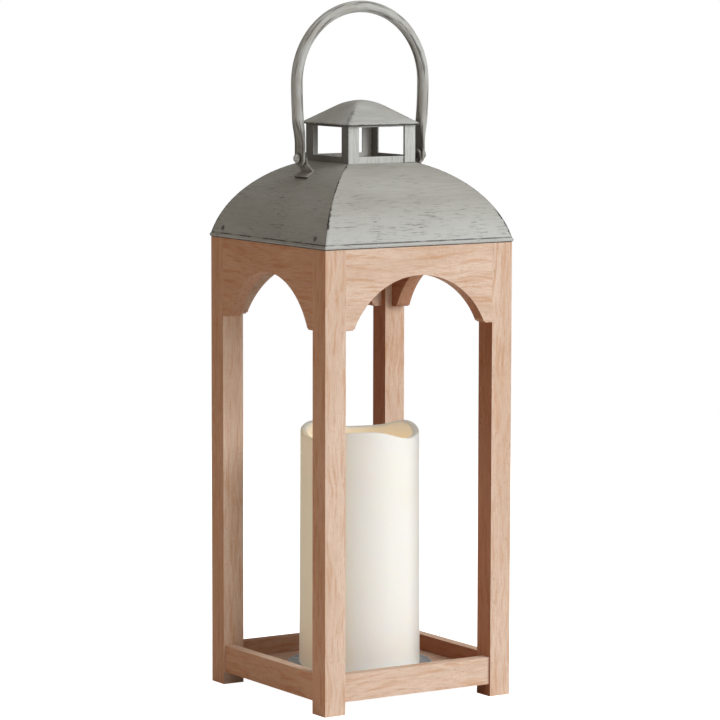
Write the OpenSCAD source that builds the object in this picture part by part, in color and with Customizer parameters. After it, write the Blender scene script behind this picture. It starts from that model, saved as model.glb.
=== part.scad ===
// Hanging candle lantern: square wooden frame with arched openings, a sheet-metal
// domed roof with a vented cupola, a swinging bail handle and a battery candle inside.
// Origin at the centre of the footprint, on the plane of the feet. +Z up, front at -Y.

/* [Wooden frame] */
// Outer width of the square frame
frame_w = 140; // [115:0.5:175]
// Height of the wooden frame
frame_h = 292.5; // [240:0.5:360]
// Side of the square corner posts
post_w = 15; // [12:0.5:18]
// Thickness of the arched boards
arch_t = 10; // [8:0.5:11]
// Height of an arched board at its feet
arch_h = 50.5; // [40:0.5:60]
// Height of wood left above the crown of an arch
arch_crown = 18; // [14:0.5:22]
// Width of an arch's foot beside the post
arch_foot = 6; // [4:0.5:9]
// Chamfer on the inner corner of an arch's foot
arch_chamfer = 1.6; // [0.5:0.1:3]

/* [Bottom rails and floor] */
// Height of the underside of the bottom rails
rail_z = 8; // [4:0.5:16]
// Height of a bottom rail
rail_h = 17.5; // [17:0.5:24]
// Thickness of a bottom rail
rail_t = 7; // [6.5:0.5:12]
// Setback of the rails and from the faces of the posts
rail_inset = 1.25; // [0.5:0.25:2]
// Thickness of the floor board
floor_t = 4; // [3:0.5:6]
// Depth of the floor groove in the rails
groove_d = 3; // [2:0.5:3.5]
// Wood left below the floor groove
groove_lip = 3; // [2:0.1:4]

/* [Dowels] */
// Diameter of the dowels
dowel_d = 4; // [3:0.5:5]
// Depth of a dowel in the post
dowel_in_post = 6; // [4:0.5:6]
// Depth of a dowel in the board
dowel_in_board = 9; // [6:0.5:10]

/* [Roof] */
// Thickness of the sheet metal
sheet_t = 0.8; // [0.6:0.1:1]
// Radius of the rolled hem
hem_r = 1.5; // [1.4:0.1:2.1]
// Rise of the roof from its hem to the cupola
roof_rise = 47.2; // [38:0.2:57]
// Outward bow of a roof panel from its straight chord
roof_bow = 8.5; // [6:0.1:10.5]
// Width of the wooden cleats under the roof
cleat_w = 10; // [8:0.5:12]
// Height of the wooden cleats under the roof
cleat_h = 10.5; // [9:0.5:12]
// Distance of a roof screw from the corner of the frame
roof_screw_in = 13.6; // [13.2:0.2:25]
// Height of a roof screw above the wood
roof_screw_z = 6.4; // [6.2:0.2:7.4]

/* [Cupola] */
// Outer width of the cupola
cupola_w = 50; // [42:0.5:60]
// Height of the cupola from the roof to the eave of its cap
cupola_h = 23.8; // [20:0.1:30]
// Width of the corner stiles
stile_w = 8; // [6:0.5:10]
// Height of the sill under a vent
sill_h = 4.1; // [3:0.1:7]
// Height of a vent
vent_h = 18.7; // [12:0.1:18.8]
// Length of the walls below the roof
stub_h = 3; // [2:0.5:5]

/* [Cupola cap] */
// Overhang of the cap past the cupola
eave_over = 2.8; // [2:0.1:6]
// Height of the turned-down edge of the cap
eave_h = 1.1; // [0.8:0.1:2]
// Slope of the cap in degrees
cap_slope = 34; // [26:0.2:40]
// Half-width of the rounded crown of the cap
crown_half = 12; // [6:0.5:15]

/* [Handle] */
// Half-width of the handle at its tube's centreline
handle_half = 47.8; // [42:0.1:56]
// Diameter of the handle's tube
handle_d = 7.4; // [6:0.1:9]
// Height of the handle's widest level above the pivots
handle_leg = 47.9; // [44:0.1:57]
// Radius of the slight inward bend of the legs
leg_bend_r = 328; // [280:1:600]
// Thickness of the flattened ends
blade_t = 2.4; // [1.8:0.1:3]
// Radius of the rounded tip of a flattened end
blade_r = 5.2; // [4:0.1:5.6]

/* [Brackets and rivets] */
// Thickness of the bracket strap
strap_t = 1.5; // [1.2:0.1:2]
// Width of the bracket strap at its foot
strap_w = 14; // [10:0.5:18]
// Length of the bracket foot along the roof
foot_l = 7; // [5:0.5:9]
// Height of the pivots above the roof
pivot_rise = 12.3; // [10.8:0.1:14]
// Radius of the ear about the pivot
ear_r = 4.4; // [4:0.1:6]
// Radius of the rivet shank
rivet_r = 2; // [1.6:0.1:2.2]
// Radius of the rivet head
rivet_head_r = 3.4; // [2.8:0.1:4]

/* [Candle] */
// Diameter of the candle at its base
candle_d = 78.4; // [65:0.2:95]
// Mean height of the candle
candle_h = 153.6; // [126:0.2:184]
// Draft of the candle's wall on the radius
candle_draft = 0.8; // [0:0.1:1.5]
// Height of the waves of the rim above and below its mean
rim_wave = 2.9; // [1:0.1:4]
// Thickness of the wax wall below the well
wax_wall = 7; // [5:0.5:8]
// Thickness of the wax wall at the rim
rim_wall = 4.6; // [3.5:0.1:6]
// Depth of the well below the mean rim
well_depth = 27; // [24:0.5:32]
// Thickness of the wax floor of the well
well_floor_t = 6; // [4:0.5:8]

/* [Candle works] */
// Diameter of a battery
cell_d = 14.5; // [13.8:0.1:14.5]
// Length of a battery
cell_h = 50.5; // [44:0.5:52]
// Distance of each battery's axis from the middle
cell_x = 8.2; // [8:0.1:8.6]
// Thickness of the flange of the housing
flange_t = 5; // [4.8:0.1:6]
// Travel of the power switch
switch_travel = 3; // [2:0.5:4]

/* [Clearances] */
// Gap between pieces that are seated or soldered together
seat_gap = 0.05; // [0.02:0.01:0.08]
// Radial gap of the handle on its rivets
running_gap = 0.05; // [0.02:0.01:0.09]
// Gap between pieces that slide past one another
slide_gap = 0.3; // [0.2:0.05:0.4]

/* [Hidden] */
$fn = 96;

// Overrun of a cut past the faces that it opens
over = 1;

// Head of a round screw against its shank, and the ball that domes it against the head
head_share = 1.75;
dome_share = 1.2;

// Directions of the four sides: the side's own +X is turned to face outwards
RIGHT = 0;
REAR = 90;
LEFT = 180;
FRONT = 270;

// Colours
WOOD_POST = "#d9b99f";
WOOD_BOARD = "#cfa98d";
WOOD_INNER = "#b98b68";
PAINTED_METAL = "#a5a298";
PLATE_METAL = "#9aa6ae";
STEEL = "#8b8a84";
WAX = "#f0ead8";
IVORY_PLASTIC = "#e9e3d0";

// Wooden frame
frame_half = frame_w / 2;
post_in = frame_half - post_w;
post_mid = frame_half - post_w / 2;
crown_z = frame_h - arch_crown;
arch_foot_z = frame_h - arch_h;
arch_span = post_in - arch_foot;
arch_sag = crown_z - arch_foot_z;
arch_r = (arch_span * arch_span + arch_sag * arch_sag) / (2 * arch_sag);
arch_mid = frame_half - arch_t / 2;
rail_out = frame_half - rail_inset;
rail_in = rail_out - rail_t;
rail_mid = rail_out - rail_t / 2;
rail_top = rail_z + rail_h;
floor_z = rail_z + groove_lip;
floor_top = floor_z + floor_t;
board_gap = 0.25;
board_half = rail_in + groove_d - board_gap;

// Dowels: one at each end of a rail, above its groove, and two at each end of an arch
dowel_r = dowel_d / 2;
rail_dowel_z = (floor_top + rail_top) / 2;
dowel_shares = [0.28, 0.78];
arch_dowel_zs = [for (share = dowel_shares) arch_foot_z + share * arch_h];
dowel_l = dowel_in_post + dowel_in_board;
end_play = 0.3;

// Roof: each panel is an arc from the top of the hem to the wall of the cupola
cupola_half = cupola_w / 2;
hem_x = frame_half - sheet_t;
hem_z = frame_h + hem_r;
roof_foot = [frame_half, frame_h + 2 * hem_r];
roof_top = [cupola_half, roof_foot[1] + roof_rise];
roof_chord = norm(roof_top - roof_foot);
roof_r = roof_chord * roof_chord / (8 * roof_bow) + roof_bow / 2;
roof_in = [roof_foot[1] - roof_top[1], roof_top[0] - roof_foot[0]] / roof_chord;
roof_c = (roof_foot + roof_top) / 2 + roof_in * (roof_r - roof_bow);
function roof_angle(x) = asin((x - roof_c[0]) / roof_r);
function roof_z(x) = roof_c[1] + roof_r * cos(roof_angle(x));
cleat_out = hem_x - hem_r - seat_gap;
cleat_end_gap = 1;
cleat_l = 2 * (cleat_out - cleat_end_gap);
cleat_mid = cleat_out - cleat_w / 2;
cleat_screw_r = 1.5;
cleat_screw_l = 16;
cleat_screw_set = 1;
roof_screw_y = frame_half - roof_screw_in;
roof_screw_r = 1;
roof_screw_l = 8;
roof_screw_tilt = asin((frame_h + roof_screw_z - roof_c[1]) / roof_r);

// Cupola and cap: the cap's crown is rounded on a circle that meets both slopes
eave_half = cupola_half + eave_over;
eave_z = roof_top[1] + cupola_h;
vent_z = roof_top[1] + sill_h;
crown_r = crown_half / sin(cap_slope);
crown_cz = eave_z + eave_h + (eave_half - crown_half) * tan(cap_slope) - crown_r * cos(cap_slope);
wall_top = crown_cz + crown_r;

// Handle: the legs bend inwards, and the blades hang straight down from their feet
handle_r = handle_d / 2;
neck_rise = 15;
neck_h = 13;
leg_drop = handle_leg - neck_rise;
blade_set = 0.76;
blade_mid = handle_half - leg_drop * leg_drop / (2 * leg_bend_r) - blade_set;
blade_in = blade_mid - blade_t / 2;
blade_out = blade_mid + blade_t / 2;
ear_out = blade_in - slide_gap;
ear_in = ear_out - strap_t;
pivot_z = roof_z(ear_out) + pivot_rise;
handle_cz = pivot_z + handle_leg;
neck_z = pivot_z + neck_rise;
neck_low = neck_z - neck_h / 2;
neck_high = neck_z + neck_h;

// Bracket: centreline of the strap, from the end of the foot to the top of the ear
foot_set = 0.6;
bend_drop = 1.8;
foot_mid_x = ear_in - foot_set;
foot_tilt = roof_angle(foot_mid_x);
foot_r = roof_r + seat_gap + strap_t / 2;
foot_mid = roof_c + foot_r * [sin(foot_tilt), cos(foot_tilt)];
foot_dir = [cos(foot_tilt), -sin(foot_tilt)];
ear_mid = (ear_in + ear_out) / 2;
strap_path = [
    foot_mid + foot_dir * foot_l / 2,
    foot_mid - foot_dir * foot_l / 2,
    [ear_mid, pivot_z - rivet_r - bend_drop],
    [ear_mid, pivot_z + ear_r + over]
];

// Candle
candle_r = candle_d / 2;
candle_top_r = candle_r - candle_draft;
plate_t = 1;
plate_rim_h = 1.2;
plate_over = 8;
plate_r = candle_r + plate_over;
plate_screw_r = 1.3;
plate_screw_l = 4;
candle_z = floor_top + plate_t;
rim_z = candle_z + candle_h;
well_z = rim_z - well_depth;
ceiling_z = well_z - well_floor_t;
cavity_r = candle_r - wax_wall;
well_r = candle_top_r - rim_wall;
well_draft = 1.5;
waves = 3;
wave_steps = 24;

// Candle works, from the bottom up: flange and cover
works_gap = 0.4;
flange_z = candle_z + 2 * works_gap;
flange_r = cavity_r - works_gap;
flange_top = flange_z + flange_t;
cell_gap = 0.25;
bore_r = cell_d / 2 + cell_gap;
core_wall = 2.2;
core_r = cell_x + bore_r + core_wall;
cover_wall = 1.1;
cover_play = 0.1;
cover_r = cell_x + bore_r + cover_wall + cover_play;
lug_reach = 1.8;
lug_r = cover_r + lug_reach;
lug_t = 1.6;
lug_angle = 20;
lug_play = 6;
unlock_turn = 40;
groove_top_t = 0.9;
groove_top = flange_top - groove_top_t;
lug_z = groove_top - lug_t - slide_gap;
cover_z = flange_z + works_gap / 2;
cover_t = 1.8;
pull_l = 18;
pull_w = 3;
pull_h = 0.8;

// Batteries, contacts and board
contact_t = 0.4;
contact_w = 8;
contact_reach = 5;
contact_l = 2 * (cell_x + contact_reach);
cell_z = cover_z + cover_t + contact_t + works_gap / 2;
cell_top = cell_z + cell_h;
nipple_r = 2.6;
nipple_h = 1.2;
base_h = 0.1;
spring_h = 6;
spring_r = 3.4;
spring_wire_r = 0.35;
bore_top_t = 2;
bore_top = cell_top + spring_h;
housing_top = bore_top + bore_top_t;
board_t = 1.2;
board_edge = 1;
board_r = core_r - board_edge;
board_top = housing_top + board_t;
board_screw_in = 3;
board_screw_x = board_r - board_screw_in;
board_screw_r = 1;
board_screw_l = 5;

// Stem, light and flame
stem_r = 4.2;
stem_bore_r = 3;
stem_in = 1;
stem_top = ceiling_z + stem_in;
socket_gap = 0.15;
socket_r = stem_r + socket_gap;
led_r = 2.5;
led_h = 6;
led_foot_r = 2.9;
led_foot_h = 1;
lead_r = 1.6;
lead_h = 12;
flame_r = 5.2;
flame_h = 19;
flame_bore_r = 3.2;
flame_bore_h = 0.4 * flame_h;
collar_r = 8;
collar_t = 1.4;

// Power switch, in a slot through the flange
switch_set = 4.1;
switch_mid = lug_r + switch_set;
switch_w = 4.2;
switch_h = 5;
switch_wall = 1.5;
knob_l = 4;
knob_w = 2.4;
knob_in = 1.7;
slot_l = knob_l + switch_travel + 2 * slide_gap;
slot_w = knob_w + 2 * slide_gap;
slot_h = 2;
rib_w = 0.4;
rib_d = 0.3;

// ---------------------------------------------------------------- shared shapes

// Outline of a bent strap of even thickness along a path, with mitred bends
function unit(v) = v / norm(v);
function left_of(v) = [-v[1], v[0]];
function path_dir(p, i) = unit(p[min(i + 1, len(p) - 1)] - p[min(i, len(p) - 2)]);
function bend_side(p, i) =
    let (a = left_of(path_dir(p, max(i - 1, 0))), b = left_of(path_dir(p, i)))
    unit(a + b) / cos(acos(min(a * b, 1)) / 2);
function strap_outline(p, t) = concat(
    [for (i = [0:len(p) - 1]) p[i] + bend_side(p, i) * t / 2],
    [for (i = [len(p) - 1:-1:0]) p[i] - bend_side(p, i) * t / 2]
);

// Turns an outline drawn as (outwards, up) into a bar that runs along a side
module along_side(length) {
    rotate([90, 0, 0])
        linear_extrude(height = length, center = true) children();
}

// Keeps the quarter of a ring that belongs to one side, cut at 45 degrees
module mitred() {
    reach = frame_w;
    intersection() {
        children();
        translate([seat_gap, 0, frame_h - over])
            linear_extrude(height = reach)
                polygon([[0, 0], [reach, -reach], [reach, reach]]);
    }
}

// Countersunk wood screw with its head's face at the origin, pointing down. With a gap
// it is the hole for the screw, open above the head
module countersunk_screw(r, l, gap = 0) {
    head_r = 2 * r;
    edge_h = 0.3;
    top = gap > 0 ? 2 * over : 0;
    rotate_extrude()
        polygon([
            [0, top], [head_r + gap, top], [head_r + gap, -edge_h],
            [r + gap, -r - edge_h], [r + gap, -l + r], [0, -l - gap]
        ]);
}

// Round-headed screw with the underside of its head at the origin, pointing down
module round_screw(r, l) {
    head_r = head_share * r;
    cap_r = dome_share * head_r;
    cap_z = sqrt(cap_r * cap_r - head_r * head_r);
    union() {
        translate([0, 0, -l])
            cylinder(r = r, h = l);
        intersection() {
            translate([0, 0, -cap_z])
                sphere(r = cap_r);
            cylinder(r = head_r, h = cap_r);
        }
    }
}

// ---------------------------------------------------------------- wooden frame

// Places a dowel across the joint between the +X face of a post and a board
module dowel_at(y, z, grow = 0, play = 0) {
    for (s = [-1, 1])
        translate([s * (post_in + (dowel_in_post - dowel_in_board) / 2), y, z])
            rotate([0, 90, 0])
                cylinder(r = dowel_r + grow, h = dowel_l + 2 * play, center = true);
}

// All the dowels of one side, for a side that faces -Y
module side_arch_dowels(grow = 0, play = 0) {
    for (z = arch_dowel_zs)
        dowel_at(-arch_mid, z, grow, play);
}

module side_rail_dowels(grow = 0, play = 0) {
    dowel_at(-rail_mid, rail_dowel_z, grow, play);
}

// Screws that hold the roof cleats down on the posts
module each_cleat_screw(gap = 0) {
    for (sx = [-1, 1], sy = [-1, 1])
        translate([sx * cleat_mid, sy * post_mid, frame_h + cleat_h - cleat_screw_set])
            countersunk_screw(cleat_screw_r, cleat_screw_l, gap);
}

module post(sx, sy) {
    color(WOOD_POST)
        difference() {
            translate([sx * post_mid - post_w / 2, sy * post_mid - post_w / 2, 0])
                cube([post_w, post_w, frame_h]);
            for (turn = [0:90:270])
                rotate([0, 0, turn]) {
                    side_arch_dowels(seat_gap, end_play);
                    side_rail_dowels(seat_gap, end_play);
                }
            each_cleat_screw(seat_gap);
        }
}

// Arched board that closes the top of a side, between two posts
module arch(side) {
    color(WOOD_BOARD)
        rotate([0, 0, side - FRONT])
            difference() {
                translate([0, -arch_mid, 0])
                    along_side(arch_t)
                        difference() {
                            translate([-post_in, arch_foot_z])
                                square([2 * post_in, arch_h]);
                            translate([0, crown_z - arch_r])
                                circle(r = arch_r);
                            for (s = [-1, 1])
                                translate([s * arch_span, arch_foot_z])
                                    rotate(45)
                                        square(arch_chamfer, center = true);
                        }
                side_arch_dowels(seat_gap, end_play);
            }
}

// Bottom rail with a groove that carries the edge of the floor board
module rail(side) {
    color(WOOD_BOARD)
        rotate([0, 0, side - FRONT])
            difference() {
                translate([-post_in, -rail_out, rail_z])
                    cube([2 * post_in, rail_t, rail_h]);
                translate([-post_in - over, -rail_in - groove_d, floor_z - seat_gap])
                    cube([2 * (post_in + over), groove_d + over, floor_t + 2 * seat_gap]);
                side_rail_dowels(seat_gap, end_play);
            }
}

module floor_board() {
    corner = board_half - post_in + board_gap;
    color(WOOD_INNER)
        difference() {
            translate([-board_half, -board_half, floor_z])
                cube([2 * board_half, 2 * board_half, floor_t]);
            for (turn = [0:90:270])
                rotate([0, 0, turn])
                    translate([board_half - corner, board_half - corner, floor_z - over])
                        cube([corner + over, corner + over, floor_t + 2 * over]);
            translate([0, 0, candle_z])
                countersunk_screw(plate_screw_r, plate_screw_l, seat_gap);
        }
}

module arch_dowels() {
    color(WOOD_INNER)
        for (turn = [0:90:270])
            rotate([0, 0, turn])
                side_arch_dowels();
}

module rail_dowels() {
    color(WOOD_INNER)
        for (turn = [0:90:270])
            rotate([0, 0, turn])
                side_rail_dowels();
}

// ---------------------------------------------------------------- candle plate

// Pressed metal plate with a turned-up edge, screwed to the floor
module candle_plate() {
    color(PLATE_METAL)
        difference() {
            translate([0, 0, floor_top])
                cylinder(r = plate_r, h = plate_t + plate_rim_h);
            translate([0, 0, candle_z])
                cylinder(r = plate_r - plate_t, h = plate_rim_h + over);
            translate([0, 0, candle_z])
                countersunk_screw(plate_screw_r, plate_screw_l, seat_gap);
        }
}

module plate_screw() {
    color(STEEL)
        translate([0, 0, candle_z])
            countersunk_screw(plate_screw_r, plate_screw_l);
}

// ---------------------------------------------------------------- roof

// Places a child on the outside of the left and right panels, pointing inwards
module at_roof_screws() {
    for (turn = [RIGHT, LEFT], s = [-1, 1])
        rotate([0, 0, turn])
            translate([roof_c[0], s * roof_screw_y, roof_c[1]])
                rotate([0, 90 - roof_screw_tilt, 0])
                    translate([0, 0, roof_r + seat_gap])
                        children();
}

// Keeps what lies under two facing panels
module under_panels() {
    intersection() {
        children();
        along_side(2 * frame_w)
            for (s = [-1, 1])
                translate([s * roof_c[0], roof_c[1]])
                    circle(r = roof_r - sheet_t - seat_gap);
    }
}

// Wooden cleat on top of a side of the frame, which the roof is screwed to. Its upper
// edge and ends are planed to the curve of the panels
module roof_cleat(side) {
    color(WOOD_INNER)
        difference() {
            under_panels()
                rotate([0, 0, 90])
                    under_panels()
                        rotate([0, 0, side - 90])
                            translate([cleat_out - cleat_w, -cleat_l / 2, frame_h])
                                cube([cleat_w, cleat_l, cleat_h]);
            each_cleat_screw(seat_gap);
            at_roof_screws()
                translate([0, 0, -roof_screw_l - over])
                    cylinder(r = roof_screw_r + seat_gap, h = roof_screw_l + 2 * over);
        }
}

module cleat_screws() {
    color(STEEL)
        each_cleat_screw();
}

// Section of a panel: an arc of sheet metal that ends in a rolled hem
module panel_section() {
    inner_x = cupola_half + seat_gap;
    difference() {
        union() {
            intersection() {
                difference() {
                    translate(roof_c)
                        circle(r = roof_r);
                    translate(roof_c)
                        circle(r = roof_r - sheet_t);
                }
                translate([inner_x, hem_z])
                    square([frame_w, frame_w]);
            }
            translate([hem_x, hem_z])
                circle(r = hem_r);
        }
        translate([hem_x, hem_z])
            circle(r = hem_r - sheet_t);
    }
}

module roof_panel(side) {
    color(PAINTED_METAL)
        difference() {
            rotate([0, 0, side])
                mitred()
                    along_side(2 * frame_w)
                        panel_section();
            at_roof_screws()
                translate([0, 0, -hem_r])
                    cylinder(r = roof_screw_r + seat_gap, h = 2 * hem_r);
        }
}

// Wire inside the hem, bent square
module rim_wire() {
    color(STEEL)
        for (turn = [0:90:270])
            rotate([0, 0, turn])
                mitred()
                    along_side(2 * frame_w)
                        translate([hem_x, hem_z])
                            circle(r = hem_r - sheet_t - seat_gap);
}

module roof_screws() {
    color(STEEL)
        at_roof_screws()
            round_screw(roof_screw_r, roof_screw_l);
}

// ---------------------------------------------------------------- cupola

// Outline of the cap, inset by a distance from its outer face
module cap_outline(inset, low) {
    r = crown_r - inset;
    tip_x = r * sin(cap_slope);
    tip_z = crown_cz + r * cos(cap_slope);
    half = eave_half - inset;
    edge_z = tip_z - (half - tip_x) * tan(cap_slope);
    polygon([
        [half, low], [half, edge_z], [tip_x, tip_z],
        [-tip_x, tip_z], [-half, edge_z], [-half, low]
    ]);
    intersection() {
        translate([0, crown_cz])
            circle(r = r);
        translate([-tip_x, tip_z])
            square([2 * tip_x, r]);
    }
}

// Solid inside the cap's outline on both plans
module cap_solid(inset, low) {
    intersection() {
        along_side(2 * cupola_w)
            cap_outline(inset, low);
        rotate([0, 0, 90])
            along_side(2 * cupola_w)
                cap_outline(inset, low);
    }
}

// One of two folded halves: two walls and a lap that covers the other half's edge
module cupola_half(turn) {
    low = roof_top[1] - stub_h;
    high = wall_top - low;
    lap_z = roof_top[1] + seat_gap;
    vent_w = cupola_w - 2 * stile_w;
    inner = cupola_half - sheet_t;
    color(PAINTED_METAL)
        rotate([0, 0, turn])
            intersection() {
                difference() {
                    union() {
                        translate([-cupola_half, -cupola_half, low])
                            cube([cupola_w - sheet_t - seat_gap, sheet_t, high]);
                        translate([-cupola_half, -cupola_half, low])
                            cube([sheet_t, cupola_w, high]);
                        translate([-cupola_half, inner, lap_z])
                            cube([sheet_t, 2 * sheet_t + seat_gap, high]);
                        translate([-cupola_half, cupola_half + seat_gap, lap_z])
                            cube([stile_w, sheet_t, high]);
                    }
                    translate([-vent_w / 2, -cupola_w, vent_z])
                        cube([vent_w, cupola_w, vent_h]);
                    translate([-cupola_w, -vent_w / 2, vent_z])
                        cube([cupola_w, vent_w, vent_h]);
                }
                cap_solid(sheet_t + seat_gap, low - over);
            }
}

// Pressed cap with a rounded crown and a turned-down edge
module cupola_cap() {
    color(PAINTED_METAL)
        difference() {
            cap_solid(0, eave_z);
            cap_solid(sheet_t, eave_z - over);
        }
}

// ---------------------------------------------------------------- brackets

// Strap bent to lie on the roof and to stand up beside the handle's end
module bracket(side) {
    taper_z = strap_path[2][1];
    color(PAINTED_METAL)
        rotate([0, 0, side])
            difference() {
                intersection() {
                    along_side(strap_w)
                        polygon(strap_outline(strap_path, strap_t));
                    rotate([90, 0, 90])
                        linear_extrude(height = frame_w)
                            union() {
                                translate([0, pivot_z])
                                    circle(r = ear_r);
                                polygon([
                                    [-strap_w / 2, roof_c[1]], [strap_w / 2, roof_c[1]],
                                    [strap_w / 2, strap_path[1][1]], [ear_r, pivot_z],
                                    [-ear_r, pivot_z], [-strap_w / 2, strap_path[1][1]]
                                ]);
                            }
                }
                translate([ear_in - over, 0, pivot_z])
                    rotate([0, 90, 0])
                        cylinder(r = rivet_r + seat_gap, h = strap_t + 2 * over);
            }
}

// Rivet through the ear and the handle's end, domed outside and peened inside
module rivet(side) {
    rivet_dome_share = 1.01;
    tail_r = 1.3 * rivet_r;
    tail_h = 1.1;
    tail_x = ear_in - seat_gap - tail_h;
    head_x = blade_out + slide_gap;
    dome_r = rivet_dome_share * rivet_head_r;
    dome_x = head_x - sqrt(dome_r * dome_r - rivet_head_r * rivet_head_r);
    color(STEEL)
        rotate([0, 0, side])
            translate([0, 0, pivot_z])
                rotate([0, 90, 0])
                    union() {
                        translate([0, 0, tail_x])
                            cylinder(r = tail_r, h = tail_h);
                        translate([0, 0, tail_x])
                            cylinder(r = rivet_r, h = head_x - tail_x);
                        intersection() {
                            translate([0, 0, dome_x])
                                sphere(r = dome_r);
                            translate([0, 0, head_x])
                                cylinder(r = rivet_head_r, h = dome_r);
                        }
                    }
}

// ---------------------------------------------------------------- handle

// Bent tube whose ends are flattened and drilled for the rivets
module handle() {
    color(PAINTED_METAL)
        difference() {
            union() {
                translate([0, 0, handle_cz])
                    rotate([90, 0, 0])
                        rotate_extrude(angle = 180)
                            translate([handle_half, 0])
                                circle(r = handle_r);
                for (turn = [RIGHT, LEFT])
                    rotate([0, 0, turn])
                        handle_leg_and_blade();
            }
            translate([-frame_w, 0, pivot_z])
                rotate([0, 90, 0])
                    cylinder(r = rivet_r + running_gap, h = 2 * frame_w);
        }
}

module handle_leg_and_blade() {
    bend = asin(handle_leg / leg_bend_r);
    intersection() {
        translate([handle_half - leg_bend_r, 0, handle_cz])
            rotate([90, -bend, 0])
                rotate_extrude(angle = 2 * bend)
                    translate([leg_bend_r, 0])
                        circle(r = handle_r);
        along_side(handle_d + over)
            polygon([
                [blade_in, neck_low], [blade_out, neck_low],
                [blade_mid + handle_d, neck_high], [blade_mid + handle_d, handle_cz],
                [blade_mid - handle_d, handle_cz], [blade_mid - handle_d, neck_high]
            ]);
    }
    rotate([90, 0, 90])
        translate([0, 0, blade_in])
            linear_extrude(height = blade_t)
                union() {
                    translate([0, pivot_z])
                        circle(r = blade_r);
                    polygon([
                        [-blade_r, pivot_z], [blade_r, pivot_z],
                        [handle_r, neck_z + neck_h / 2], [-handle_r, neck_z + neck_h / 2]
                    ]);
                }
}

// ---------------------------------------------------------------- candle

// Cuts the top of the candle to a rim that rises and falls three times around
module rim_cutter() {
    reach = candle_r + 2 * rim_wave;
    count = waves * wave_steps;
    step = 360 / count;
    gain = rim_wave * reach / (candle_top_r - rim_wall / 2);
    roof = rim_z + 3 * rim_wave + reach;
    rim = [for (i = [0:count - 1])
        [reach * cos(i * step), reach * sin(i * step), rim_z + gain * cos(waves * i * step)]];
    lid = [for (i = [0:count - 1]) [reach * cos(i * step), reach * sin(i * step), roof]];
    points = concat([[0, 0, rim_z]], rim, [[0, 0, roof]], lid);
    faces = [for (i = [0:count - 1], part = [0:3])
        let (a = 1 + i, b = 1 + (i + 1) % count, c = a + count + 1, d = b + count + 1)
        part == 0 ? [0, a, b] :
        part == 1 ? [count + 1, d, c] :
        part == 2 ? [a, c, b] : [b, c, d]];
    polyhedron(points = points, faces = faces, convexity = 4);
}

// Wax shell: a well above, a cavity for the works below, a floor with a hole between
module candle_shell() {
    color(WAX)
        difference() {
            translate([0, 0, candle_z])
                cylinder(r1 = candle_r, r2 = candle_top_r, h = candle_h + 2 * rim_wave);
            translate([0, 0, candle_z - over])
                cylinder(r = cavity_r, h = ceiling_z - candle_z + over);
            translate([0, 0, well_z])
                cylinder(r1 = well_r - well_draft, r2 = well_r, h = well_depth + 3 * rim_wave);
            translate([0, 0, ceiling_z - over])
                cylinder(r = socket_r, h = well_floor_t + 2 * over);
            rim_cutter();
        }
}

// Slot for the power switch, through the flange
module switch_slot(z, h) {
    translate([-slot_l / 2, -switch_mid - slot_w / 2, z])
        cube([slot_l, slot_w, h]);
}

// Plan of a bayonet lug, about the +X direction
module lug_sector(angle, gap) {
    reach = 2 * lug_r;
    side = reach * sin(angle / 2);
    intersection() {
        circle(r = lug_r + gap);
        polygon([[0, 0], [reach * cos(angle / 2), -side], [reach * cos(angle / 2), side]]);
    }
}

// Plan of both lugs, at the front and the rear
module lug_pair(angle, gap) {
    for (turn = [REAR, FRONT])
        rotate(turn)
            lug_sector(angle, gap);
}

// Plastic housing: two battery bores, a flange, and a recess for the twist-lock cover
module battery_housing() {
    color(IVORY_PLASTIC)
        difference() {
            union() {
                translate([0, 0, flange_z])
                    cylinder(r = flange_r, h = flange_t);
                translate([0, 0, flange_z])
                    cylinder(r = core_r, h = housing_top - flange_z);
            }
            translate([0, 0, flange_z - over])
                linear_extrude(height = lug_z - flange_z + over)
                    union() {
                        circle(r = cover_r + slide_gap);
                        rotate(-unlock_turn)
                            lug_pair(lug_angle + lug_play, 2 * slide_gap);
                    }
            translate([0, 0, lug_z - slide_gap])
                cylinder(r = lug_r + slide_gap, h = groove_top - lug_z + slide_gap);
            for (s = [-1, 1])
                translate([s * cell_x, 0, lug_z])
                    cylinder(r = bore_r, h = bore_top - lug_z);
            switch_slot(flange_z - over, flange_t + 2 * over);
            for (s = [-1, 1])
                translate([0, s * board_screw_x, housing_top - board_screw_l])
                    cylinder(r = board_screw_r + seat_gap, h = board_screw_l + over);
        }
}

// One battery stands on its base, the other on its nipple
module battery(s) {
    up = s < 0;
    body_h = up ? cell_h - nipple_h : cell_h;
    color(up ? "#4e5a63" : "#565f58")
        translate([s * cell_x, 0, 0])
            union() {
                translate([0, 0, cell_z])
                    cylinder(r = cell_d / 2, h = body_h);
                translate([0, 0, up ? cell_z + body_h : cell_z - base_h])
                    cylinder(r = nipple_r, h = up ? nipple_h : base_h);
            }
}

// Coil springs that press the batteries down on the cover's contact
module contact_springs() {
    turns = 4;
    per_turn = 10;
    sides = 5;
    end_gap = spring_wire_r + seat_gap;
    rise = spring_h - 2 * end_gap;
    count = turns * per_turn;
    color(STEEL)
        for (s = [-1, 1])
            translate([s * cell_x, 0, cell_top + end_gap])
                polyhedron(
                    points = [for (i = [0:count], k = [0:sides - 1])
                        let (a = i * 360 / per_turn, b = k * 360 / sides)
                        let (r = spring_r + spring_wire_r * cos(b))
                        [r * cos(a), r * sin(a), rise * i / count + spring_wire_r * sin(b)]],
                    faces = concat(
                        [[for (k = [0:sides - 1]) k]],
                        [[for (k = [sides - 1:-1:0]) count * sides + k]],
                        [for (i = [0:count - 1], k = [0:sides - 1])
                            [i * sides + k, (i + 1) * sides + k,
                                (i + 1) * sides + (k + 1) % sides, i * sides + (k + 1) % sides]]
                    ),
                    convexity = 8
                );
}

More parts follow.
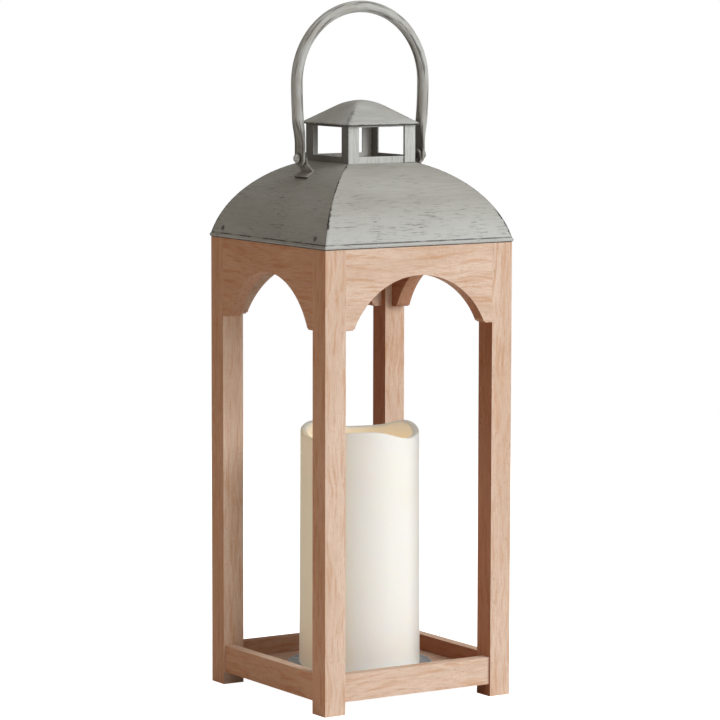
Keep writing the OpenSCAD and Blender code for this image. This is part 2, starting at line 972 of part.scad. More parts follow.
module circuit_board() {
    color("#3f6b4c")
        translate([0, 0, housing_top])
            difference() {
                cylinder(r = board_r, h = board_t);
                for (s = [-1, 1])
                    translate([0, s * board_screw_x, -over])
                        cylinder(r = 1.2 * board_screw_r, h = board_t + 2 * over);
            }
}

module board_screws() {
    color(STEEL)
        for (s = [-1, 1])
            translate([0, s * board_screw_x, board_top])
                round_screw(board_screw_r, board_screw_l);
}

// Tube that carries the light up from the board to the floor of the well
module led_stem() {
    length = stem_top - board_top;
    color(IVORY_PLASTIC)
        translate([0, 0, board_top])
            difference() {
                cylinder(r = stem_r, h = length);
                translate([0, 0, -over])
                    cylinder(r = stem_bore_r, h = length + 2 * over);
            }
}

module led() {
    color("#f4d58a")
        translate([0, 0, stem_top + seat_gap])
            union() {
                cylinder(r = led_foot_r, h = led_foot_h);
                cylinder(r = led_r, h = led_h);
                translate([0, 0, led_h])
                    sphere(r = led_r);
                translate([0, 0, -lead_h])
                    cylinder(r = lead_r, h = lead_h);
            }
}

// Hollow translucent flame with a collar that rests on the floor of the well
module flame_tip() {
    color("#f6e3b4")
        translate([0, 0, well_z])
            difference() {
                rotate_extrude()
                    polygon([
                        [0, 0], [collar_r, 0], [collar_r, collar_t],
                        [0.88 * flame_r, 0.1 * flame_h], [flame_r, 0.3 * flame_h],
                        [0.92 * flame_r, 0.45 * flame_h], [0.65 * flame_r, 0.65 * flame_h],
                        [0.35 * flame_r, 0.83 * flame_h], [0.12 * flame_r, 0.96 * flame_h],
                        [0, flame_h]
                    ]);
                translate([0, 0, -over])
                    cylinder(r = flame_bore_r, h = flame_bore_h + over);
            }
}

// Slide switch on top of the flange
module switch_body() {
    length = slot_l + 2 * switch_wall;
    color("#33383b")
        difference() {
            translate([-length / 2, -switch_mid - switch_w / 2, flange_top])
                cube([length, switch_w, switch_h]);
            switch_slot(flange_top - over, slot_h + over);
        }
}

// Ribbed knob of the power switch, standing in its slot
module power_switch() {
    knob_x = -switch_travel / 2;
    knob_z = flange_z + works_gap;
    color("#26292b")
        translate([knob_x - knob_l / 2, -switch_mid - knob_w / 2, knob_z])
            difference() {
                cube([knob_l, knob_w, flange_top + knob_in - knob_z]);
                for (share = [1, 2, 3] / 4)
                    translate([share * knob_l - rib_w / 2, -over, -over])
                        cube([rib_w, knob_w + 2 * over, rib_d + over]);
            }
}

// Round cover with two lugs and a finger slot
module battery_cover() {
    color(IVORY_PLASTIC)
        difference() {
            union() {
                translate([0, 0, cover_z])
                    cylinder(r = cover_r, h = lug_z + lug_t - cover_z);
                translate([0, 0, lug_z])
                    linear_extrude(height = lug_t)
                        lug_pair(lug_angle, 0);
            }
            translate([0, 0, cover_z + cover_t])
                cylinder(r = cover_r - cover_wall, h = lug_z + lug_t - cover_z);
            translate([-pull_l / 2, -pull_w / 2, cover_z - over])
                cube([pull_l, pull_w, pull_h + over]);
        }
}

// Strip inside the cover that joins the two batteries
module cover_contact() {
    color("#b9b49a")
        translate([-contact_l / 2, -contact_w / 2, cover_z + cover_t])
            cube([contact_l, contact_w, contact_t]);
}

post(-1, -1);  // post_front_left
post(1, -1);  // post_front_right
post(-1, 1);  // post_rear_left
post(1, 1);  // post_rear_right
arch(FRONT);  // arch_front
arch(REAR);  // arch_rear
arch(LEFT);  // arch_left
arch(RIGHT);  // arch_right
rail(FRONT);  // rail_front
rail(REAR);  // rail_rear
rail(LEFT);  // rail_left
rail(RIGHT);  // rail_right
floor_board();
arch_dowels();
rail_dowels();
candle_plate();
plate_screw();
roof_cleat(LEFT);  // roof_cleat_left
roof_cleat(RIGHT);  // roof_cleat_right
cleat_screws();
roof_panel(FRONT);  // roof_panel_front
roof_panel(REAR);  // roof_panel_rear
roof_panel(LEFT);  // roof_panel_left
roof_panel(RIGHT);  // roof_panel_right
rim_wire();
roof_screws();
cupola_half(0);  // cupola_half_front
cupola_half(180);  // cupola_half_rear
cupola_cap();
bracket(LEFT);  // bracket_left
bracket(RIGHT);  // bracket_right
rivet(LEFT);  // rivet_left
rivet(RIGHT);  // rivet_right
handle();
candle_shell();
battery_housing();
battery(-1);  // battery_left
battery(1);  // battery_right
contact_springs();
circuit_board();
board_screws();
led_stem();
led();
flame_tip();
switch_body();
power_switch();
battery_cover();
cover_contact();
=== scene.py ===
"""A hanging candle lantern: a wooden frame, a roof of painted sheet metal and a wax candle."""

import math

import bpy
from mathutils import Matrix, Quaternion, Vector, noise


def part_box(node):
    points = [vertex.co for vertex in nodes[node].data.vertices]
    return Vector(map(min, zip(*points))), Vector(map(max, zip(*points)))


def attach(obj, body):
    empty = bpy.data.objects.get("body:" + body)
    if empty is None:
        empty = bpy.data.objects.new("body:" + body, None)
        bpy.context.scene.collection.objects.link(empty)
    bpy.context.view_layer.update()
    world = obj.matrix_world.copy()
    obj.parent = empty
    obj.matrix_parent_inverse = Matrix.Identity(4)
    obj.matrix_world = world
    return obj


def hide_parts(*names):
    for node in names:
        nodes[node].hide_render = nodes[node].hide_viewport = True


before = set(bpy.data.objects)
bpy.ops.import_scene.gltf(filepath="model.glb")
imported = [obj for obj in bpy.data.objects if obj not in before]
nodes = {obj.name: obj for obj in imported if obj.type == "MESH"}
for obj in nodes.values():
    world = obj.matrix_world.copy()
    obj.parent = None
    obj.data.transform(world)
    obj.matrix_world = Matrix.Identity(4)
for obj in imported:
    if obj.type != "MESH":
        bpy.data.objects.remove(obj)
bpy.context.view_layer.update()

# ---------------------------------------------------------------- table, lamps and camera
# The lantern stands on a sheet of white paper. A large soft lamp at the front right lights the
# front faces, and a weak warm one leaves the left faces in shade.
PAPER = (0.93, 0.93, 0.925, 1)
PAPER_GLOW = 1.0
PAPER_HALF = 2.6
PAPER_SOLID_TO = 0.7
PAPER_GONE_AT = 1.5
ROOM_TINT = (1.0, 0.90, 0.79, 1)
ROOM_LEVEL = 0.22
WHITE = (1, 1, 1, 1)
KEY_TINT = (1.0, 0.985, 0.96)
FILL_TINT = (1.0, 0.82, 0.64)
TOP_TINT = (0.93, 0.97, 1.0)
VIEW_BEARING = math.radians(-32.514)
VIEW_HEIGHT = 0.2544
VIEW_REACH = 2.3164
VIEW_AIM = 0.2144
VIEW_ROLL = math.radians(0.11)
VIEW_LENS = 180.67


class Wire:
    """One output of a node in a material. Arithmetic on it adds Math nodes."""

    def __init__(self, tree, socket=None):
        self.tree = tree
        self.socket = socket

    def node(self, kind, inputs=(), out=0, **settings):
        """Adds a node: its settings first, then the values or wires of its sockets."""
        made = self.tree.nodes.new("ShaderNode" + kind)
        for name, value in settings.items():
            setattr(made, name, value)
        for name, value in dict(inputs).items():
            if isinstance(value, Wire):
                self.tree.links.new(value.socket, made.inputs[name])
            else:
                made.inputs[name].default_value = value
        return Wire(self.tree, made.outputs[out] if made.outputs else None)

    def maths(self, operation, *values):
        return self.node("Math", enumerate(values), operation=operation)

    def __add__(self, other):
        return self.maths("ADD", self, other)

    def __sub__(self, other):
        return self.maths("SUBTRACT", self, other)

    def __mul__(self, other):
        return self.maths("MULTIPLY", self, other)

    def __radd__(self, other):
        return self.maths("ADD", other, self)

    def __rsub__(self, other):
        return self.maths("SUBTRACT", other, self)

    def __rmul__(self, other):
        return self.maths("MULTIPLY", other, self)

    def __abs__(self):
        return self.maths("ABSOLUTE", self)

    def rise(self, low, high):
        """0 below low and 1 above high, with a soft step between them."""
        ends = {"Value": self, "From Min": low, "From Max": high}
        return self.node("MapRange", ends, interpolation_type="SMOOTHSTEP")

    def mix(self, a, b, blend="MIX"):
        """Colour a where this is 0, and b where it is 1."""
        return self.node("Mix", {0: self, 6: a, 7: b}, out=2, data_type="RGBA", blend_type=blend)

    def cloud(self, at, scale, detail=2.0, ragged=0.5, twist=0.0):
        """Noise between about 0.3 and 0.7, with its lumps 1 / scale metres apart."""
        return self.node("TexNoise", {
            "Vector": at, "Scale": scale, "Detail": detail, "Roughness": ragged, "Distortion": twist})

    def stretched(self, at, axis, share, seed):
        """Coordinates in which a noise is drawn out along one axis."""
        scale = [1.0, 1.0, 1.0]
        scale[axis] = share
        shift = (0.37 * seed, 0.61 * seed, 0.83 * seed)
        return self.node("Mapping", {"Vector": at, "Location": shift, "Scale": scale})

    def bump(self, height, depth):
        return self.node("Bump", {"Height": height, "Strength": 1.0, "Distance": depth})

    def surface(self, **sockets):
        """The shader and the material's output, from sockets named with _ for a space."""
        named = {name.replace("_", " "): value for name, value in sockets.items()}
        self.node("OutputMaterial", {"Surface": self.node("BsdfPrincipled", named)})


def material(name):
    """An empty material, and a wire that adds nodes to it."""
    made = bpy.data.materials.new(name)
    made.use_nodes = True
    made.node_tree.nodes.clear()
    return made, Wire(made.node_tree)


def piece(name, points, faces, finish, body=None):
    """A smooth mesh from its points and faces, in a finish, that rides on a body."""
    mesh = bpy.data.meshes.new(name)
    mesh.from_pydata(points, [], faces)
    mesh.validate()
    mesh.polygons.foreach_set("use_smooth", [True] * len(mesh.polygons))
    mesh.materials.append(finish)
    made = bpy.data.objects.new(name, mesh)
    bpy.context.scene.collection.objects.link(made)
    if body:
        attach(made, body)
    return made


def paper():
    """White paper that fades out into the room away from the lantern."""
    made, w = material("paper")
    place = w.node("TexCoord", out="Object")
    fibre = w.cloud(place, 900, 3)
    sheet = w.node("BsdfDiffuse", {"Color": fibre.mix(PAPER, WHITE), "Normal": w.bump(fibre, 0.00004)})
    glow = w.node("Emission", {"Color": WHITE, "Strength": PAPER_GLOW})
    lit = w.node("AddShader", {0: sheet, 1: glow})
    lit = w.node("MixShader", {0: w.node("LightPath", out="Is Camera Ray"), 1: sheet, 2: lit})
    away = w.node("VectorMath", {0: place}, out="Value", operation="LENGTH")
    fade = away.rise(PAPER_SOLID_TO, PAPER_GONE_AT)
    clear = w.node("BsdfTransparent")
    w.node("OutputMaterial", {"Surface": w.node("MixShader", {0: fade, 1: lit, 2: clear})})
    return made


def lamp(name, at, size, power, tint):
    """A square soft lamp that faces the middle of the lantern."""
    light = bpy.data.lights.new(name, "AREA")
    light.size = size
    light.energy = power
    light.color = tint
    made = bpy.data.objects.new(name, light)
    made.location = at
    towards = Vector((0, 0, VIEW_AIM)) - made.location
    made.rotation_euler = towards.to_track_quat("-Z", "Y").to_euler()
    bpy.context.scene.collection.objects.link(made)


STEPS = 12
spans = [PAPER_HALF * (2 * i / STEPS - 1) for i in range(STEPS + 1)]
paper_points = [(x, y, 0) for y in spans for x in spans]
paper_faces = [
    (i + j, i + j + 1, i + j + STEPS + 2, i + j + STEPS + 1)
    for j in range(0, STEPS * (STEPS + 1), STEPS + 1) for i in range(STEPS)
]
piece("paper", paper_points, paper_faces, paper())

lamp("key_lamp", at=(1.15, -1.75, 1.15), size=1.3, power=33, tint=KEY_TINT)
lamp("fill_lamp", at=(-1.9, -0.5, 0.6), size=1.4, power=3.0, tint=FILL_TINT)
lamp("top_lamp", at=(0.2, -0.3, 2.1), size=1.6, power=10.5, tint=TOP_TINT)

room = bpy.data.worlds.new("room")
room.use_nodes = True
room.node_tree.nodes.clear()
air = Wire(room.node_tree)
dim = air.node("Background", {"Color": ROOM_TINT, "Strength": ROOM_LEVEL})
bright = air.node("Background", {"Color": WHITE, "Strength": 1.0})
seen = air.node("LightPath", out="Is Camera Ray")
air.node("OutputWorld", {"Surface": air.node("MixShader", {0: seen, 1: dim, 2: bright})})
bpy.context.scene.world = room
bpy.context.scene.view_settings.view_transform = "Standard"

camera = bpy.data.objects.new("camera", bpy.data.cameras.new("camera"))
camera.data.lens = VIEW_LENS
camera.location = (
    VIEW_REACH * math.sin(VIEW_BEARING), -VIEW_REACH * math.cos(VIEW_BEARING), VIEW_AIM + VIEW_HEIGHT
)
sight = Vector((0, 0, VIEW_AIM)) - camera.location
camera.rotation_mode = "QUATERNION"
camera.rotation_quaternion = sight.to_track_quat("-Z", "Y") @ Quaternion((0, 0, 1), VIEW_ROLL)
bpy.context.scene.collection.objects.link(camera)
bpy.context.scene.camera = camera

# ---------------------------------------------------------------- wooden frame
# Posts, arched boards, rails and floor are planed from unfinished pinkish hardwood with fine
# open pores. Each board is cut from its own stick, so that no two have the same figure.
ALONG_X, ALONG_Y, ALONG_Z = 0, 1, 2
WOOD_PALE = (0.85, 0.67, 0.555, 1)
WOOD_MID = (0.76, 0.56, 0.435, 1)
WOOD_DEEP = (0.56, 0.335, 0.215, 1)
WOOD_ORANGE = (0.62, 0.31, 0.14, 1)
# Painted shade for faces that turn left or right, and for inward and lower faces.
SIDE_PAINTED_SHADE = (0.80, 0.57, 0.43, 1)
INSIDE_PAINTED_SHADE = (0.60, 0.42, 0.32, 1)
PORE_BROWN = (0.42, 0.20, 0.10, 1)
KNOT_BROWN = (0.20, 0.08, 0.03, 1)
EDGE_ROUNDING = 0.00035
WELD_WITHIN = 0.000001


def wood(name, along, seed, shade, marks=()):
    """Planed wood whose grain runs along an axis, darkened as painted shade on faces that turn left or
    right, inward or down. shade is how much painted shade darkens the whole board. marks are
    (place, radius, colour) spots.
    """
    made, w = material(name)
    place = w.node("TexCoord", out="Object")
    sway = w.node("VectorMath", {
        0: w.node("TexNoise", {"Vector": place, "Scale": 14.0 + seed % 3, "Detail": 1.0}, out="Color"),
        1: (0.014, 0.014, 0.014)}, operation="MULTIPLY")
    bent = w.node("VectorMath", {0: place, 1: sway}, operation="ADD")
    figure = w.cloud(w.stretched(bent, along, 0.12, seed), 60, 3, 0.55, 0.4)
    streaks = w.cloud(w.stretched(bent, along, 0.07, seed + 1), 420, 3, 0.6)
    fibres = w.cloud(w.stretched(place, along, 0.06, seed + 2), 1900, 2)
    dashes = w.cloud(w.stretched(place, along, 0.22, seed + 3), 1500, 2, 0.6)
    specks = w.cloud(w.stretched(place, along, 0.40, seed + 4), 1300, 2, 0.6)
    patches = w.cloud(place, 30 + seed % 5, 2)
    pores = dashes.rise(0.60, 0.70) * patches.rise(0.32, 0.62)
    tone = figure.rise(0.32, 0.70).mix(WOOD_PALE, WOOD_MID)
    tone = (streaks.rise(0.46, 0.70) * 0.55).mix(tone, WOOD_ORANGE)
    tone = (fibres.rise(0.42, 0.66) * 0.30).mix(tone, WOOD_DEEP)
    tone = (specks.rise(0.58, 0.70) * 0.42).mix(tone, WOOD_ORANGE)
    normal = w.node("NewGeometry", out="Normal")
    facing = w.node("SeparateXYZ", {0: normal}, out="X")
    level = w.node("VectorMath", {0: place, 1: (1.0, 1.0, 0.0)}, operation="MULTIPLY")
    outward = w.node("VectorMath", {0: normal, 1: level}, out="Value", operation="DOT_PRODUCT")
    # Lower faces and inward side faces get painted shade, and shade adds painted shade to the whole
    # board.
    down = 1 - w.node("SeparateXYZ", {0: normal}, out="Z").rise(-0.4, -0.1)
    inner = down.maths("MAXIMUM", down, (1 - outward.rise(-0.03, 0.0)) * abs(facing).rise(0.5, 0.9))
    # Faces that turn left or right are darkened as painted shade.
    tone = abs(facing).rise(0.5, 0.9).mix(tone, SIDE_PAINTED_SHADE, "MULTIPLY")
    tone = (inner * 0.9 + shade).mix(tone, INSIDE_PAINTED_SHADE, "MULTIPLY")
    tone = (pores * 0.45).mix(tone, PORE_BROWN)
    dents = fibres * 0.3 - pores
    for spot, radius, colour in marks:
        far = w.node("VectorMath", {0: bent, 1: spot}, out="Value", operation="DISTANCE")
        ring = far * (1 / radius) + w.cloud(place, 300, 3) * 1.2
        tone = (1 - ring.rise(0.75, 1.6)).mix(tone, colour)
    w.surface(
        Base_Color=tone, Roughness=0.6 + streaks * 0.16, IOR=1.42,
        Normal=w.bump(dents, 0.00009))
    return made


def dress(name, finish):
    """Puts a finish on a CAD piece."""
    part = nodes[name]
    part.data.materials.clear()
    part.data.materials.append(finish)
    return part


def round_edges(part, radius):
    """Rubs the sharp edges off a CAD piece."""
    weld = part.modifiers.new("weld", "WELD")
    weld.merge_threshold = WELD_WITHIN
    bevel = part.modifiers.new("rounding", "BEVEL")
    bevel.width = radius
    bevel.segments = 2
    bevel.limit_method = "ANGLE"
    bevel.angle_limit = math.radians(40)
    bevel.harden_normals = True


MARKS = {
    "post_front_left": [((-0.070, -0.0688, 0.0078), 0.0007, KNOT_BROWN)],
    "rail_front": [((-0.0425, -0.06875, 0.0127), 0.0010, KNOT_BROWN)],
    "rail_left": [((-0.06875, 0.051, 0.017), 0.0030, WOOD_ORANGE)],
    "rail_right": [
        ((0.06175, 0.016, 0.0200), 0.0010, WOOD_PALE), ((0.06175, -0.002, 0.0180), 0.0009, WOOD_PALE),
    ],
}
# Each board: its name, the axis of its grain, a seed, and how much painted shade darkens it.
BOARDS = [
    ("post_front_left", ALONG_Z, 2.0, 0.0), ("post_front_right", ALONG_Z, 5.3, 0.0),
    ("post_rear_left", ALONG_Z, 8.1, 0.05), ("post_rear_right", ALONG_Z, 11.7, 0.12),
    ("arch_front", ALONG_X, 14.2, 0.0), ("arch_rear", ALONG_X, 17.9, 0.05),
    ("arch_left", ALONG_Y, 20.4, 0.02), ("arch_right", ALONG_Y, 23.6, 0.05),
    ("rail_front", ALONG_X, 26.8, 0.0), ("rail_right", ALONG_Y, 32.5, 0.1),
    ("rail_left", ALONG_Y, 35.1, 0.02),
]
for name, along, seed, shade in BOARDS:
    marks = MARKS.get(name, ())
    round_edges(dress(name, wood(name + "_wood", along, seed, shade, marks)), EDGE_ROUNDING)

rail_low, rail_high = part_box("rail_rear")
knot_z = (rail_low.z + rail_high.z) / 2
rear_knots = [
    ((rail_low.x * 0.86, rail_low.y, knot_z + 0.003), 0.0032, WOOD_ORANGE),
    ((rail_low.x * 0.60, rail_low.y, knot_z), 0.0045, WOOD_ORANGE),
    ((rail_low.x * 0.38, rail_low.y, knot_z + 0.002), 0.003, KNOT_BROWN),
]
# The rear rail is darkened heavily as painted shade.
rear_wood = wood("rail_rear_wood", ALONG_X, 29.3, 0.85, rear_knots)
round_edges(dress("rail_rear", rear_wood), EDGE_ROUNDING)
round_edges(dress("floor_board", wood("floor_wood", ALONG_X, 38.4, 0.4)), EDGE_ROUNDING)
hidden_wood = wood("hidden_wood", ALONG_X, 41.2, 0.2)
for name in ("arch_dowels", "rail_dowels", "roof_cleat_left", "roof_cleat_right"):
    dress(name, hidden_wood)

# ---------------------------------------------------------------- candle plate and screws
# The plate is pressed from galvanised sheet, bluish grey with a faint spangle. The screws are
# plain steel with brushed heads, and most of them are out of sight.
ZINC = (0.50, 0.56, 0.62, 1)
ZINC_PALE = (0.70, 0.745, 0.78, 1)
STEEL_GREY = (0.30, 0.295, 0.28, 1)
STEEL_BRIGHT = (0.55, 0.54, 0.51, 1)


def bare_metal(name, deep, bright, metallic, grain):
    """Bare metal with a mottled skin and fine scratches."""
    made, w = material(name)
    place = w.node("TexCoord", out="Object")
    skin = w.cloud(place, grain, 4, 0.6)
    scratch = w.cloud(w.stretched(place, ALONG_X, 0.08, 1.0), 3000, 2)
    tone = skin.rise(0.35, 0.68).mix(deep, bright)
    tone = (scratch.rise(0.55, 0.72) * 0.3).mix(tone, bright)
    w.surface(
        Base_Color=tone, Metallic=metallic, Roughness=0.34 + skin * 0.3,
        Normal=w.bump(scratch * 0.4 + skin, 0.00006))
    return made


zinc = bare_metal("zinc_sheet", ZINC, ZINC_PALE, 0.55, 160)
steel = bare_metal("screw_steel", STEEL_GREY, STEEL_BRIGHT, 0.85, 900)
round_edges(dress("candle_plate", zinc), 0.0002)
for name in (
    "plate_screw", "cleat_screws", "rim_wire", "board_screws", "contact_springs", "cover_contact",
):
    dress(name, steel)

# ---------------------------------------------------------------- roof
# Four curved panels of sheet metal are soldered along the hips and end in a hem rolled over a
# wire. The taupe paint is brushed on parallel to the rim and rubbed through to a black primer.
TAUPE = (0.375, 0.372, 0.34, 1)
TAUPE_PALE = (0.445, 0.45, 0.425, 1)
TAUPE_WARM = (0.27, 0.255, 0.222, 1)
BLUE_GREY = (0.56, 0.585, 0.585, 1)
BLUE_PALE = (0.66, 0.69, 0.69, 1)
PRIMER = (0.035, 0.030, 0.030, 1)
SHADE_BROWN = (0.055, 0.045, 0.038, 1)
FRAME_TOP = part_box("post_front_left")[1].z
CREASE_Z = FRAME_TOP + 0.0031
SCUFF_TOP = FRAME_TOP + 0.032
# Top of the paler, bluer band near the hem that is painted light.
PAINTED_LIGHT_TOP = FRAME_TOP + 0.034
LINE_WIDTH = 0.0006


def split(w, at):
    """The three coordinates of a place."""
    return [w.node("SeparateXYZ", {0: at}, out=axis) for axis in "XYZ"]


def hips(w, place, width, seed):
    """The ragged lines where the paint has rubbed off the corners of a square shape."""
    x, y = split(w, place)[:2]
    off = abs(abs(x) - abs(y))
    teeth = w.cloud(w.node("Mapping", {"Vector": place, "Location": (seed, 0, 0)}), 520, 4, 0.65)
    there = w.cloud(place, 46, 2).rise(0.38, 0.54)
    return ((teeth - 0.3) * (width * 3.2) - off).rise(0.0, width * 0.35) * (0.3 + there * 0.7)


def paint(name, along, seed, wear_and_painted_shade, shades=(TAUPE, TAUPE_PALE), warmth=0.0, streaking=0.5,
          side=0.0, low_painted_light=0.0):
    """Brushed paint over black primer. wear_and_painted_shade gives the mask of where it is rubbed
    through to the primer or darkened as painted shade, side is how much painted shade darkens the
    left and right faces, and low_painted_light is how much paler and bluer the paint is made near
    the hem, as painted light."""
    made, w = material(name)
    at = w.node("TexCoord", out="Object")
    broad = w.cloud(w.stretched(at, along, 0.35, seed), 34, 3, 0.55)
    strokes = w.cloud(w.stretched(at, along, 0.05, seed + 1), 1100, 3, 0.6)
    dashes = w.cloud(w.stretched(at, along, 0.08, seed + 2), 1500, 3, 0.6)
    patches = w.cloud(w.stretched(at, along, 0.45, seed + 3), 75, 2)
    specks = w.cloud(w.stretched(at, along, 0.6, seed + 4), 2000, 2, 0.6)
    tone = broad.rise(0.34, 0.68).mix(*shades)
    tone = (strokes.rise(0.42, 0.66) * 0.26 + warmth).mix(tone, TAUPE_WARM)
    rubbed = dashes.rise(0.56, 0.66) * patches.rise(0.42, 0.62) * streaking
    dots = specks.rise(0.62, 0.72) * 0.3
    bare_and_painted_shade = rubbed.maths("MAXIMUM", rubbed, dots)
    # Paler, bluer paint near the hem is painted light.
    if low_painted_light:
        down = 1 - w.node("SeparateXYZ", {0: at}, out="Z").rise(FRAME_TOP, PAINTED_LIGHT_TOP)
        tone = (down * low_painted_light).mix(tone, BLUE_GREY)
    # The wear mask holds rubbed paint and, on some parts, painted shade.
    bare_and_painted_shade = bare_and_painted_shade.maths("MAXIMUM", bare_and_painted_shade, wear_and_painted_shade(w, at, dashes))
    tone = bare_and_painted_shade.mix(tone, PRIMER)
    # Darker left and right faces are painted shade.
    if side:
        facing = w.node("SeparateXYZ", {0: w.node("NewGeometry", out="Normal")}, out="X")
        tone = (abs(facing).rise(0.6, 0.9) * side).mix(tone, SHADE_BROWN)
    w.surface(
        Base_Color=tone, Roughness=0.5 + strokes * 0.12 + bare_and_painted_shade * 0.1, Metallic=bare_and_painted_shade * 0.2,
        Normal=w.bump(strokes * 0.5 - bare_and_painted_shade, 0.00008))
    return made


def roof_wear_and_painted_shade(w, place, dashes):
    """Worn hips, scuffs drawn along the lower half, and painted shade in the crease over the hem and
    under the hem.
    """
    x, y, z = split(w, place)
    ragged = w.cloud(place, 700, 3)
    gaps = w.cloud(place, 60, 2).rise(0.34, 0.5)
    wander = (ragged - 0.5) * LINE_WIDTH
    # The crease over the hem and the band under it are darkened as painted shade.
    crease = (1 - abs(z - CREASE_Z + wander).rise(LINE_WIDTH / 3, LINE_WIDTH)) * (0.3 + gaps * 0.5)
    under = (1 - (z - FRAME_TOP - LINE_WIDTH / 2 + wander).rise(0.0, LINE_WIDTH)) * 0.9
    lower = z.rise(CREASE_Z, CREASE_Z + 0.002) * (1 - z.rise(SCUFF_TOP - 0.014, SCUFF_TOP))
    front = 0.3 + (abs(y) - abs(x)).rise(-0.001, 0.001) * 0.7
    scuffs = dashes.rise(0.50, 0.64) * w.cloud(place, 70, 3).rise(0.44, 0.60) * lower * front
    hem_painted_shade = w.maths("MAXIMUM", crease, under)
    edges = w.maths("MAXIMUM", hips(w, place, 0.0010, 2.0), hips(w, place, 0.0017, 4.0) * lower)
    return w.maths("MAXIMUM", edges, w.maths("MAXIMUM", hem_painted_shade, scuffs * 0.5))


# Each panel: its name, the axis of its strokes, a seed, a warmth, and how much paler and bluer it is
# painted near the hem as painted light.
for name, along, seed, warmth, low_painted_light in (
    ("front", ALONG_X, 3.0, 0.0, 0.75), ("rear", ALONG_X, 7.0, 0.1, 0.4),
    ("left", ALONG_Y, 11.0, 0.12, 0.0), ("right", ALONG_Y, 15.0, 0.1, 0.3),
):
    finish = paint(f"roof_paint_{name}", along, seed, roof_wear_and_painted_shade, warmth=warmth, low_painted_light=low_painted_light)
    dress(f"roof_panel_{name}", finish)

screw_iron = bare_metal("roof_screw_iron", PRIMER, STEEL_GREY, 0.5, 1400)
dress("roof_screws", screw_iron)

# ---------------------------------------------------------------- cupola and its cap
# Two folded halves of sheet metal with square vents carry a pressed cap. The cupola's left and
# right faces are darkened as painted shade. The cap is painted like the roof, its hips are
# rubbed dark, and its eave is darkened as painted shade.
SHEET = 0.0008
CAP_CROWN = 0.012
CAP_SLOPE = math.radians(34)
EAVE_TALL = 0.0011


def cupola_wear(w, place, dashes):
    """Thin rubbed corners, and a few scratches."""
    return hips(w, place, 0.0007, 5.0) * 0.6 + dashes.rise(0.62, 0.7) * 0.2


# side darkens the cupola's left and right faces as painted shade.
cupola_paint = paint(
    "cupola_paint", ALONG_Z, 19.0, cupola_wear, (BLUE_GREY, BLUE_PALE), streaking=0.3, side=0.76)
for name in ("cupola_half_front", "cupola_half_rear"):
    dress(name, cupola_paint)

cap_low, cap_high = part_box("cupola_cap")


def cap_wear_and_painted_shade(w, place, dashes):
    """Smudged hips that stop short of the crown, painted shade along the eave and a few scratches."""
    z = split(w, place)[2]
    ragged = w.cloud(place, 380, 3)
    # The eave is darkened as painted shade.
    eave = 1 - (z - cap_low.z - 0.0004 + (ragged - 0.5) * 0.0012).rise(0.0, 0.0008)
    smudge = hips(w, place, 0.0030, 9.0) * (1 - z.rise(cap_high.z - 0.005, cap_high.z - 0.002))
    return w.maths("MAXIMUM", smudge * 0.5, eave * 0.9 + dashes.rise(0.62, 0.7) * 0.25)


def cap_height(out, half, edge_z):
    """Height of the cap at a distance from its middle: a round crown, then a straight slope."""
    radius = CAP_CROWN / math.sin(CAP_SLOPE)
    centre = edge_z + (half - CAP_CROWN) * math.tan(CAP_SLOPE) - radius * math.cos(CAP_SLOPE)
    if out < CAP_CROWN:
        return centre + math.sqrt(radius * radius - out * out)
    return edge_z + (half - out) * math.tan(CAP_SLOPE)


def bands(first, rows, around):
    """The faces between rings of points, from the point numbered first."""
    return [
        (a + k, a + around + k, a + around + (k + 1) % around, a + (k + 1) % around)
        for a in range(first, first + (rows - 1) * around, around) for k in range(around)
    ]


def cap_shell():
    """The pressed cap: square rings that grow rounder towards the crown."""
    half = cap_high.x
    edge_z = cap_low.z + EAVE_TALL
    around, ring_count = 96, 26
    roundest, squarest = 2.4, 32.4
    rings = []
    for i in range(1, ring_count + 1):
        out = half * i / ring_count
        square = roundest + (squarest - roundest) * (out / half) ** 1.5
        rings.append((out, cap_height(out, half, edge_z), square))
    rings += [(half, edge_z - SHEET / 2, squarest), (half, cap_low.z, squarest)]
    points = [(0, 0, cap_height(0, half, edge_z))]
    for out, z, square in rings:
        for k in range(around):
            angle = math.tau * k / around
            c, s = math.cos(angle), math.sin(angle)
            reach = out / (abs(c) ** square + abs(s) ** square) ** (1 / square)
            points.append((reach * c, reach * s, z))
    faces = [(0, 1 + k, 1 + (k + 1) % around) for k in range(around)]
    faces += bands(1, len(rings), around)
    finish = paint("cap_paint", ALONG_X, 23.0, cap_wear_and_painted_shade, (TAUPE_PALE, BLUE_GREY), streaking=0.2)
    made = piece("cap_shell", points, faces, finish, "lantern")
    thick = made.modifiers.new("sheet", "SOLIDIFY")
    thick.thickness = SHEET
    thick.offset = -1
    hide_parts("cupola_cap")


cap_shell()

# ---------------------------------------------------------------- brackets and rivets
# Bent straps stand on the roof at the left and right. A rivet in each holds the handle's end:
# its head is hammered to a rough dome.
HEAD_FACETS = 900
HEAD_TALL = 0.00295
HEAD_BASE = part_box("rivet_right")[1].x - HEAD_TALL
SHANK_R = 0.002
ROLL_TALL = 0.0012

bracket_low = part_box("bracket_left")[0]


def bracket_wear_and_painted_shade(w, place, _):
    """A painted shadow line under the foot, and an ear rubbed by the handle."""
    z = split(w, place)[2]
    # A painted shadow line along the bottom of the foot.
    foot = 1 - z.rise(bracket_low.z + 0.0006, bracket_low.z + 0.0014)
    ear = z.rise(bracket_low.z + 0.004, bracket_low.z + 0.008)
    return w.maths("MAXIMUM", foot, w.cloud(place, 160, 3, 0.6).rise(0.36, 0.60) * ear * 0.85)


bracket_paint = paint("bracket_paint", ALONG_Z, 27.0, bracket_wear_and_painted_shade, warmth=0.3)
for name in ("bracket_left", "bracket_right"):
    round_edges(dress(name, bracket_paint), 0.0002)


